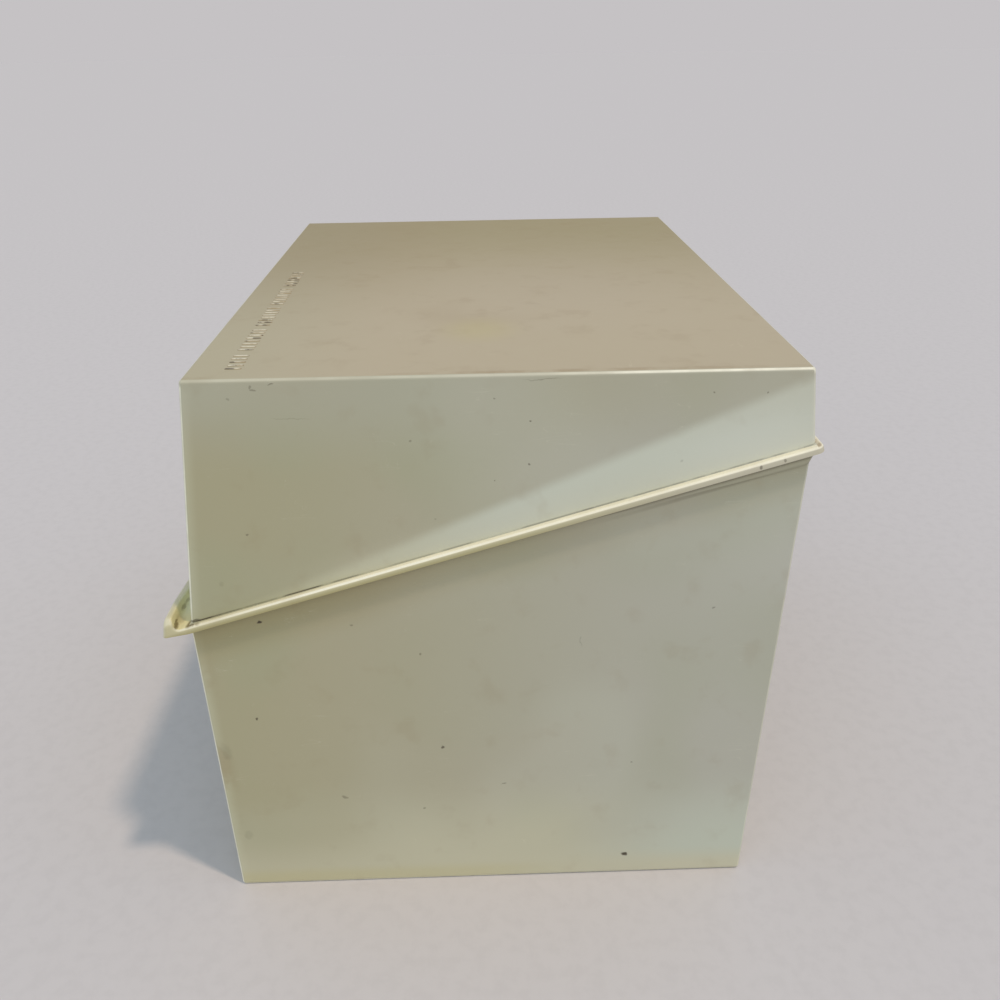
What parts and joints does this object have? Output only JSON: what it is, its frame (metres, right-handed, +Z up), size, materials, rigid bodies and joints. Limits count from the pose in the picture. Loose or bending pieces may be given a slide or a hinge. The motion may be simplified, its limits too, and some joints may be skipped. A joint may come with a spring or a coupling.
{
  "type": "recipe box",
  "caption": "Hinged plastic box for recipe cards, with a deep tub, a lid that slopes up to the hinge, a rim flange and a lift lip along the front.",
  "frame": {"origin": "centre of the bounding box at its base, on the surface the box stands on", "axes": "+Z up, +X along the box's length, -Y towards the front where the lift lip is"},
  "size_m": [0.1422, 0.108, 0.094],
  "materials": {
    "cream_plastic": "satin cream moulded polystyrene, lightly mottled",
    "pin_steel": "plain drawn steel"
  },
  "bodies": {
    "base": {"base_tub": "cream_plastic", "left_hinge_pin": "pin_steel", "right_hinge_pin": "pin_steel"},
    "lid": {"lid": "cream_plastic"}
  },
  "joints": [
    {"name": "lid_hinge", "type": "hinge", "parent": "base", "child": "lid", "pos_m": [0, 0.05144, 0.08201], "axis": [-1, 0, 0], "range_deg": [0, 105]}
  ]
}
